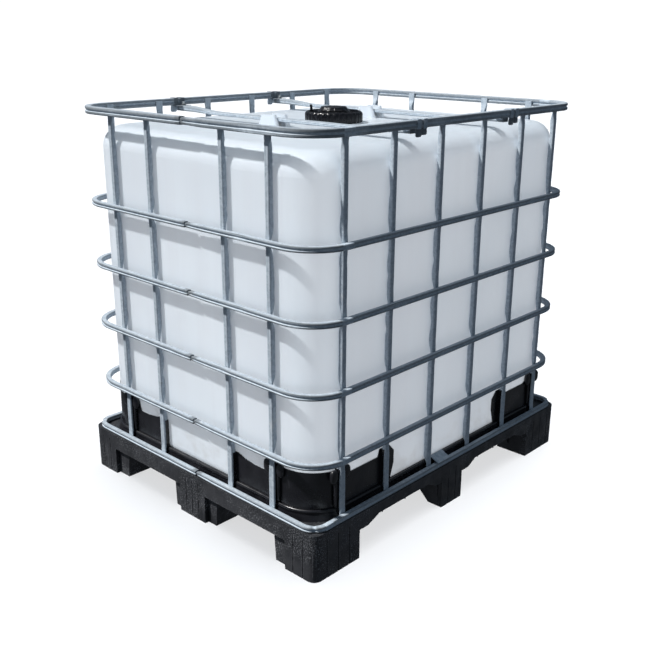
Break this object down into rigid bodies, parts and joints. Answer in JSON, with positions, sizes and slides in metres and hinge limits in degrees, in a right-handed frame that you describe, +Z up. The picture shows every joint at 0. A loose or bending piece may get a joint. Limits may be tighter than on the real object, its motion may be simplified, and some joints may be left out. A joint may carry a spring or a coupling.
{
  "type": "intermediate bulk container",
  "caption": "White blow-moulded liquid bottle in a galvanised tube cage on a black plastic pallet, with a screw lid on top and a butterfly outlet valve in a front recess.",
  "frame": {"origin": "on the floor under the middle of the pallet", "axes": "+Z up, +Y towards the short front side that has the outlet valve, +X towards the right long side"},
  "size_m": [1, 1.2, 1.16],
  "materials": {
    "pallet_plastic": "black regrind polyethylene, satin with scuffs",
    "guard_plastic": "black polyethylene sheet, satin",
    "bottle_plastic": "natural white blow-moulded polyethylene, translucent, soft gloss",
    "galvanised_tube": "hot-dip galvanised, dull zinc with spangle",
    "galvanised_sheet": "galvanised sheet, dull zinc",
    "zinc_bolt": "bright zinc plate",
    "lid_plastic": "glossy black polyethylene",
    "gasket_rubber": "black rubber",
    "valve_plastic": "natural white polyethylene",
    "nut_plastic": "black polypropylene",
    "disc_plastic": "white polyethylene",
    "shaft_steel": "stainless steel",
    "handle_plastic": "red glass-filled polyamide",
    "cap_plastic": "red polyethylene"
  },
  "bodies": {
    "tote": {"pallet": "pallet_plastic", "bottle": "bottle_plastic", "corner_guard_rear_left": "guard_plastic", "corner_guard_rear_right": "guard_plastic", "corner_guard_front_left": "guard_plastic", "corner_guard_front_right": "guard_plastic", "cage_ring_bottom": "galvanised_tube", "cage_ring_second": "galvanised_tube", "cage_ring_third": "galvanised_tube", "cage_ring_fourth": "galvanised_tube", "cage_ring_fifth": "galvanised_tube", "cage_ring_top": "galvanised_tube", "upright_rear_1": "galvanised_tube", "upright_rear_2": "galvanised_tube", "upright_rear_3": "galvanised_tube", "upright_rear_4": "galvanised_tube", "upright_front_1": "galvanised_tube", "upright_front_2": "galvanised_tube", "upright_front_3": "galvanised_tube", "upright_front_4": "galvanised_tube", "upright_left_1": "galvanised_tube", "upright_left_2": "galvanised_tube", "upright_left_3": "galvanised_tube", "upright_left_4": "galvanised_tube", "upright_left_5": "galvanised_tube", "upright_left_6": "galvanised_tube", "upright_right_1": "galvanised_tube", "upright_right_2": "galvanised_tube", "upright_right_3": "galvanised_tube", "upright_right_4": "galvanised_tube", "upright_right_5": "galvanised_tube", "upright_right_6": "galvanised_tube", "cross_bar_front": "galvanised_tube", "cross_bar_rear": "galvanised_tube", "bar_clamp_front_left": "galvanised_sheet", "bar_clamp_front_right": "galvanised_sheet", "bar_clamp_rear_left": "galvanised_sheet", "bar_clamp_rear_right": "galvanised_sheet", "bar_bolts": "zinc_bolt", "hold_down_right": "galvanised_sheet", "hold_down_left": "galvanised_sheet", "id_plate": "galvanised_sheet", "id_plate_rivets": "zinc_bolt", "valve_body": "valve_plastic", "valve_seat": "gasket_rubber", "valve_gasket": "gasket_rubber", "valve_union_nut": "nut_plastic"},
    "lid_seal": {"lid_gasket": "gasket_rubber"},
    "screw_lid": {"lid": "lid_plastic"},
    "vent_seal": {"vent_plug_gasket": "gasket_rubber"},
    "vent_plug": {"vent_plug": "lid_plastic"},
    "valve_lever": {"valve_handle": "handle_plastic", "valve_shaft": "shaft_steel", "valve_disc": "disc_plastic", "valve_handle_screw": "zinc_bolt"},
    "cap_seal": {"outlet_cap_gasket": "gasket_rubber"},
    "outlet_cap": {"outlet_cap": "cap_plastic"}
  },
  "joints": [
    {"name": "lid_lift", "type": "slide", "parent": "tote", "child": "lid_seal", "axis": [0, 0, 1], "range_m": [0, 0.16]},
    {"name": "lid_turn", "type": "hinge", "parent": "lid_seal", "child": "screw_lid", "pos_m": [0, 0, 1.12], "axis": [0, 0, 1], "range_deg": [0, 540]},
    {"name": "vent_plug_lift", "type": "slide", "parent": "screw_lid", "child": "vent_seal", "axis": [0, 0, 1], "range_m": [0, 0.1]},
    {"name": "vent_plug_turn", "type": "hinge", "parent": "vent_seal", "child": "vent_plug", "pos_m": [0, 0, 1.14], "axis": [0, 0, 1], "range_deg": [0, 900]},
    {"name": "valve_turn", "type": "hinge", "parent": "tote", "child": "valve_lever", "pos_m": [0, 0.527, 0.222], "axis": [0, 0, 1], "range_deg": [0, 90]},
    {"name": "outlet_cap_pull", "type": "slide", "parent": "tote", "child": "cap_seal", "axis": [0, 1, 0], "range_m": [0, 0.12]},
    {"name": "outlet_cap_turn", "type": "hinge", "parent": "cap_seal", "child": "outlet_cap", "pos_m": [0, 0.58, 0.222], "axis": [0, 1, 0], "range_deg": [0, 720]}
  ]
}
